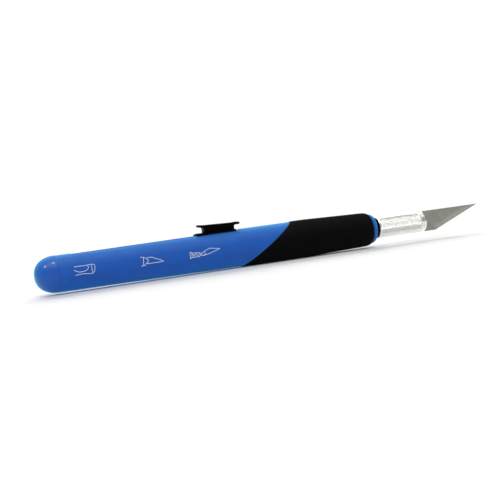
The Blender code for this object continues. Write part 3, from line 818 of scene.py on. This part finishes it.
make_washer()
knurled_collar = make_collar()


# ---------------------------------------------------------------- slider

S_STEM = (47.2 * MM, 55.95 * MM)
STEM_HALF = 1.5 * MM


def make_slider():
    """Thumb plate on its stem: a shallow hollow between two rounded lips."""
    low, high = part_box("thumb_button")
    rear, front = stations("thumb_button")
    rear_z, front_z = 7.83 * MM, 7.43 * MM
    slope = (front_z - rear_z) / (front - rear)
    thick, dish = 0.78 * MM, 0.12 * MM
    lip_start, lip_end = 0.3 * MM, 1.1 * MM
    end_r = 0.35 * MM
    overhang = 0.45 * MM
    fillet, sunk = 0.3 * MM, 0.1 * MM
    foot_top = 3.03 * MM
    foot_half = STEM_HALF + 0.28 * MM
    overlap = 0.05 * MM

    def top(s):
        return rear_z + slope * (s - rear)

    def dished(s):
        """Top line: a rounded lip at both ends, and a shallow hollow between them."""
        inward = min(s - rear, front - s)
        t = min(1.0, max(0.0, (inward - lip_start) / (lip_end - lip_start)))
        return top(s) - dish * t * t * (3 - 2 * t)

    def below(s):
        return top(s) - thick

    outline = [(s, dished(s)) for s in between(rear + end_r, front - end_r, 40)]
    outline += arc(front - end_r, top(front) - end_r, end_r, end_r, 80, -90, 8)
    outline += [(S_STEM[1] + overhang, below(S_STEM[1])), (S_STEM[0] - overhang, below(S_STEM[0]))]
    outline += arc(rear + end_r, top(rear) - end_r, end_r, end_r, 270, 90, 9)
    plate = extruded(outline, high.y)
    stem = extruded([(S_STEM[0], foot_top - overlap), (S_STEM[1], foot_top - overlap),
                     (S_STEM[1], below(S_STEM[1]) - fillet), (S_STEM[1] + fillet, below(S_STEM[1]) + sunk),
                     (S_STEM[0] - fillet, below(S_STEM[0]) + sunk), (S_STEM[0], below(S_STEM[0]) - fillet)],
                    STEM_HALF)
    foot = block(S_STEM, (-foot_half, foot_half), (low.z - AXIS_Z, foot_top))
    solid = combine(plate, "UNION", [stem, foot])
    piece("thumb_slider", solid, "button", BLACK, "thumb_button", bevel=0.09 * MM,
          smooth=40)


def make_saddle():
    """Thin saddle under the stem: a tapered rear lip, a window for the stem and a leg into the shuttle."""
    low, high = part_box("slider_base")
    rear = stations("slider_base")[0]
    front = S_STEM[1] + GAP + 0.2 * MM
    track = TRACK_Z + GAP / 2
    top = high.z - AXIS_Z
    lip, lip_knee = 0.95 * MM, 0.45 * MM
    knee_drop, lip_thick = 0.1 * MM, 0.14 * MM
    s_leg = (45.4 * MM, 46.55 * MM)
    overlap = 0.1 * MM
    outline = [(rear, track), (front, track), (front, top), (rear + lip, top),
               (rear + lip_knee, top - knee_drop), (rear, track + lip_thick)]
    leg = block(s_leg, (-STEM_HALF, STEM_HALF), (low.z - AXIS_Z, track + overlap))
    window = block((S_STEM[0] - GAP, S_STEM[1] + GAP), (-STEM_HALF - GAP, STEM_HALF + GAP),
                   (track - MM, top + MM))
    solid = combine(extruded(outline, high.y), "UNION", [leg])
    solid = combine(solid, "DIFFERENCE", [window])
    piece("slider_saddle", solid, "carriage", BLACK, "slider_base", bevel=0.06 * MM,
          smooth=40)


make_slider()
make_saddle()


# ---------------------------------------------------------------- printed pictograms

PRINT_WIDTH = 0.17 * MM
PRINT_THICK = 0.012 * MM      # above the surface, and as much below it
PRINT_STEP = 0.4 * MM         # between two rows of a line
MITRE_LIMIT = 0.5             # lowest cosine for widening a line at a corner


def printed_line(bm, points):
    """A thin closed ribbon on the barrel's near side, through (s, w) points in millimetres.

    w is measured round the surface, upward from the height of the axis.
    """
    path = [Vector((s * MM, w * MM)) for s, w in points]
    fine = [path[0]]
    for a, b in zip(path, path[1:]):
        steps = max(1, int((b - a).length / PRINT_STEP))
        fine += [a.lerp(b, k / steps) for k in range(1, steps + 1)]
    rows = []
    for k, p in enumerate(fine):
        ahead = fine[min(k + 1, len(fine) - 1)] - p
        behind = p - fine[max(k - 1, 0)]
        direction = (ahead.normalized() + behind.normalized()).normalized()
        normal = Vector((-direction.y, direction.x))
        lean = normal.dot(Vector((-behind.y, behind.x)).normalized()) if behind.length else 1.0
        lean = max(MITRE_LIMIT, lean)
        row = []
        for side, lift in ((-1, -PRINT_THICK), (1, -PRINT_THICK), (1, PRINT_THICK), (-1, PRINT_THICK)):
            q = p + normal * side * PRINT_WIDTH / 2 / lean
            r = barrel_radius(q.x)
            angle = q.y / r
            row.append(bm.verts.new(at(q.x, -(r + lift) * cos(angle), (r + lift) * sin(angle))))
        rows.append(row)
    join_rings(bm, rows, closed=False)
    bm.faces.new(rows[0])
    bm.faces.new(rows[-1])


def make_prints():
    """Three plain pictograms: press the end with a thumb, a narrow blade, and a chuck with a blade."""
    press = [
        [(10.2, 1.4), (10.55, 1.5), (13.5, 1.45), (13.85, 1.55), (15.3, 1.5), (15.55, 1.25), (15.55, 0.4),
         (15.35, -0.35), (15.1, -0.65), (14.7, -0.9), (12.1, -0.65), (11.1, -0.7), (10.25, -0.8)],
        [(10.1, 0.65), (10.4, 0.35), (11.1, 0.0), (11.95, -0.1), (12.95, 0.0), (13.65, 0.4), (13.9, 0.95),
         (13.75, 1.35)],
        [(14.7, 1.4), (14.75, 0.3), (14.85, -0.65)],
    ]
    blade = [
        [(27.85, 1.5), (28.75, 1.45), (29.45, 1.0)],
        [(28.7, 1.3), (28.45, -0.7)],
        [(27.85, -0.9), (28.5, -0.85), (28.8, -0.8), (29.35, -0.25)],
        [(29.4, 0.85), (29.75, 0.7), (29.9, 0.35), (29.75, 0.0), (29.4, -0.15)],
        [(29.45, 1.0), (30.05, 1.2), (30.95, 1.1), (33.3, 0.05), (34.0, -0.35), (33.15, -0.45),
         (30.75, -0.45), (29.95, -0.5), (29.35, -0.25)],
    ]
    chuck = [
        [(41.5, 0.95), (42.0, 0.85), (41.95, -0.6), (41.45, -0.8), (41.5, 0.95)],
        [(42.05, 0.65), (44.2, 0.5), (44.4, 0.2), (44.35, -0.25), (43.95, -0.55), (42.05, -0.55)],
        [(42.15, 0.45), (42.6, -0.3), (43.1, 0.45), (43.6, -0.35), (44.1, 0.35)],
        [(45.05, 0.45), (44.6, 0.1), (44.7, -0.3), (45.3, -0.4), (45.75, -0.05), (45.7, 0.45)],
        [(45.05, 0.45), (47.1, 1.35), (50.05, 0.85), (47.25, 0.0), (45.3, -0.4)],
    ]
    for name, lines in (("print_press", press), ("print_blade", blade), ("print_chuck", chuck)):
        bm = bmesh.new()
        for points in lines:
            printed_line(bm, points)
        piece(name, bm, "handle", INK, smooth=0)


make_prints()


# ---------------------------------------------------------------- turned pieces inside

PIN_R = 0.6 * MM
PIN_HOLE_R = 0.65 * MM
S_SHUTTLE_PIN = 60.2 * MM
S_COLLET_PIN = 92.2 * MM
REACH = 8.0 * MM              # beyond the outside of every inner piece, for cutters


def make_rod():
    """Rod with a spigot in the shuttle, a bored front end for the collet and a hole for each pin."""
    rear, front = stations("slide_rod")
    r = turned_radius("slide_rod")
    spigot_r = 2.2 * MM
    shoulder = 62.6 * MM
    bore_end = 89.9 * MM
    edge, chamfer = 0.2 * MM, 0.1 * MM
    profile = [(rear, 0), (rear, spigot_r - chamfer), (rear + chamfer, spigot_r), (shoulder, spigot_r),
               *rear_corner(shoulder, r, edge), *front_corner(front, r, edge), (front, CHUCK_BORE_R),
               (bore_end, CHUCK_BORE_R), (bore_end, 0)]
    holes = [cross_pin(s, PIN_HOLE_R, REACH) for s in (S_SHUTTLE_PIN, S_COLLET_PIN)]
    rod = combine(lathe(profile), "DIFFERENCE", holes)
    piece("rod_shaft", rod, "carriage", ROD_STEEL, "slide_rod", smooth=40)


def make_collet():
    """Brass stem, slit into two jaws whose noses are coned."""
    rear, front = stations("collet")
    r = turned_radius("collet")
    nose_r = 1.95 * MM
    cone = 112.0 * MM
    slit_start = 94.4 * MM
    slit_half = 0.35 * MM
    chamfer = 0.15 * MM
    profile = [(rear, 0), (rear, r - chamfer), (rear + chamfer, r), (cone, r), (front, nose_r), (front, 0)]
    slit = block((slit_start, front + MM), (-slit_half, slit_half), (-REACH, REACH))
    collet = combine(lathe(profile), "DIFFERENCE", [slit, cross_pin(S_COLLET_PIN, PIN_HOLE_R, REACH)])
    piece("collet_jaws", collet, "carriage", BRASS, "collet", smooth=30)


def make_closing_ring():
    """Ring whose conical bore squeezes the jaws together."""
    rear, front = stations("closing_ring")
    r = turned_radius("closing_ring")
    edge = 0.12 * MM
    entry_r, exit_r = 2.3 * MM, 2.05 * MM
    cone_start, cone_end = 112.25 * MM, 113.85 * MM
    profile = [(rear, entry_r), *rear_corner(rear, r, edge, 3), *front_corner(front, r, edge, 3),
               (front, exit_r), (cone_end, exit_r), (cone_start, entry_r)]
    piece("cone_ring", lathe(profile), "chuck_ring", ROD_STEEL, "closing_ring", smooth=30)


def make_rubbers():
    """Ring round the rod, and the shuttle's two stops."""
    rear, front = stations("rod_ring")
    half_height = (SOCKET_R - GAP - BUSH_BORE_R) / 2
    section = arc((rear + front) / 2, BUSH_BORE_R + half_height, (front - rear) / 2, half_height, 0, 360, 24)
    piece("rod_seal", lathe(section[:-1]), "handle", INNER_RUBBER, "rod_ring", smooth=60)
    edge = 0.15 * MM
    r = SHUTTLE_BORE_R - GAP
    for name, node, bore in (("front_stop", "front_bumper", BUSH_BORE_R), ("rear_stop", "rear_bumper", 0)):
        rear, front = stations(node)
        profile = [(rear, bore), *rear_corner(rear, r, edge), *front_corner(front, r, edge), (front, bore)]
        piece(name, lathe(profile), "handle", INNER_RUBBER, node, smooth=40)


def make_pins():
    """Cross pins that hold the rod in the shuttle and the collet in the rod."""
    rounding = 0.12 * MM
    for name, node, s, half in (("shuttle_cross_pin", "shuttle_pin", S_SHUTTLE_PIN, 3.55 * MM),
                                ("collet_cross_pin", "collet_pin", S_COLLET_PIN, 2.9 * MM)):
        pin = cross_pin(s, PIN_R, half, rounding)
        piece(name, pin, "carriage", ROD_STEEL, node, smooth=30)


make_rod()
make_collet()
make_closing_ring()
make_rubbers()
make_pins()


# ---------------------------------------------------------------- carried-over CAD nodes

def paint_carried_over():
    """Gives a material to each CAD node that is shown as it is."""
    for node, mat in (("blade", BLADE_STEEL), ("lock_rail", RAIL_STEEL), ("lock_spring", SPRING_STEEL),
                      ("shuttle", BLACK)):
        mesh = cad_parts[node].data
        mesh.materials.clear()
        mesh.materials.append(mat)


paint_carried_over()


# ---------------------------------------------------------------- stage, light and camera

VIEW_ANGLE = 17.1             # degrees that the camera is turned from a square view, towards the cap
VIEW_RISE = 3.5               # degrees above the knife
VIEW_ROLL = 7.2               # degrees
VIEW_DISTANCE = 252.8 * MM
S_AIM = 60.16 * MM            # station and height of the point in the middle of the view
AIM_Z = -1.1 * MM
FOCAL_PIXELS = 890
FRAME_PIXELS = 500
SENSOR = 36.0                 # millimetres
CLIP_START = 0.005            # metres
FLOOR_HALF = 6.0              # metres


def make_floor():
    """A large pale sheet that the sleeve, the thickest part of the knife, touches."""
    bm = bmesh.new()
    height = AXIS_Z - GRIP_R
    bm.faces.new([bm.verts.new((x * FLOOR_HALF, y * FLOOR_HALF, height))
                  for x, y in ((-1, -1), (1, -1), (1, 1), (-1, 1))])
    floor = add_object("floor", to_mesh("floor", bm))
    n = Nodes("pale_floor")
    n.to("Base Color", n.colours(n.noise(0.02), [(NOISE_LOW, (0.93, 0.93, 0.935)),
                                                 (NOISE_HIGH, (0.95, 0.95, 0.955))]))
    n.set(Roughness=0.9, Specular_IOR_Level=0.1)
    floor.data.materials.append(n.material)
    floor.visible_shadow = False
    return floor


def soft_sun(name, towards, strength, spread, colour=(1, 1, 1), glossy=True):
    """An even light from a direction, as wide as a softbox that fills an angle of spread degrees.

    It shows in glossy surfaces only if glossy is true.
    """
    data = bpy.data.lights.new(name, "SUN")
    data.energy = strength
    data.angle = radians(spread)
    data.color = colour
    light = add_object(name, data)
    light.rotation_euler = Vector(towards).to_track_quat("Z", "Y").to_euler()
    light.visible_glossy = glossy
    return light


def make_world():
    """White to the eye, dim as a light, so that the studio lights shape the knife."""
    world = bpy.data.worlds.new("studio")
    bpy.context.scene.world = world
    world.use_nodes = True
    tree = world.node_tree
    tree.nodes.clear()
    path = tree.nodes.new("ShaderNodeLightPath")
    mix = tree.nodes.new("ShaderNodeMixShader")
    tree.links.new(path.outputs["Is Camera Ray"], mix.inputs["Fac"])
    lit, seen = 1, 2
    for socket, colour, strength in ((lit, (0.93, 0.96, 1.0, 1), 0.22), (seen, (1, 1, 1, 1), 1.05)):
        background = tree.nodes.new("ShaderNodeBackground")
        background.inputs["Color"].default_value = colour
        background.inputs["Strength"].default_value = strength
        tree.links.new(background.outputs["Background"], mix.inputs[socket])
    output = tree.nodes.new("ShaderNodeOutputWorld")
    tree.links.new(mix.outputs["Shader"], output.inputs["Surface"])


def link_light(light, obj, state):
    """Lets a light shine on one object only (INCLUDE), or on all but that one (EXCLUDE)."""
    receivers = bpy.data.collections.new(light.name + "_receivers")
    receivers.objects.link(obj)
    receivers.collection_objects[0].light_linking.link_state = state
    light.light_linking.receiver_collection = receivers


def make_lights(floor, collar):
    """Broad softboxes that shape the knife, one for the collar's glints, and two small ones for gloss."""
    soft_sun("softbox_behind", (0.1, 0.88, 0.46), 3.5, 50, (1.0, 0.99, 0.96), glossy=False)
    soft_sun("softbox_overhead", (0.0, -0.4, 1.0), 1.4, 50)
    rim = soft_sun("softbox_rim", (0.0, 0.5, 0.85), 2.7, 50, glossy=False)
    glints = soft_sun("softbox_collar", (0.0, 0.55, 0.83), 1.2, 70, (1.0, 0.99, 0.95))
    soft_sun("softbox_front", (-0.2, -1.0, 0.1), 0.45, 28, glossy=False)
    soft_sun("softbox_low", (-0.1, -0.8, -0.6), 1.25, 40, glossy=False)
    left = soft_sun("softbox_left", (-0.55, -0.25, 0.8), 1.15, 10)
    top = soft_sun("softbox_top", (-0.03, -0.22, 0.98), 0.5, 8)
    link_light(glints, collar, "INCLUDE")
    for light in (rim, left, top):
        link_light(light, floor, "EXCLUDE")


def make_camera():
    """The camera, aimed at the knife at the viewing angle above."""
    data = bpy.data.cameras.new("camera")
    data.sensor_width = SENSOR
    data.lens = SENSOR * FOCAL_PIXELS / FRAME_PIXELS
    data.clip_start = CLIP_START
    camera = add_object("camera", data)
    turn, rise, roll = radians(VIEW_ANGLE), radians(VIEW_RISE), radians(VIEW_ROLL)
    forward = Vector((sin(turn) * cos(rise), cos(turn) * cos(rise), -sin(rise)))
    right = Vector((cos(turn), -sin(turn), 0))
    up = right.cross(forward)
    rolled_right = right * cos(roll) - up * sin(roll)
    rolled_up = up * cos(roll) + right * sin(roll)
    axes = Matrix((rolled_right, rolled_up, -forward)).transposed().to_4x4()
    place = at(S_AIM, 0, AIM_Z) - forward * VIEW_DISTANCE
    camera.matrix_world = Matrix.Translation(place) @ axes
    bpy.context.scene.camera = camera


floor_sheet = make_floor()
make_world()
make_lights(floor_sheet, knurled_collar)
make_camera()
bpy.context.scene.view_settings.view_transform = "Standard"
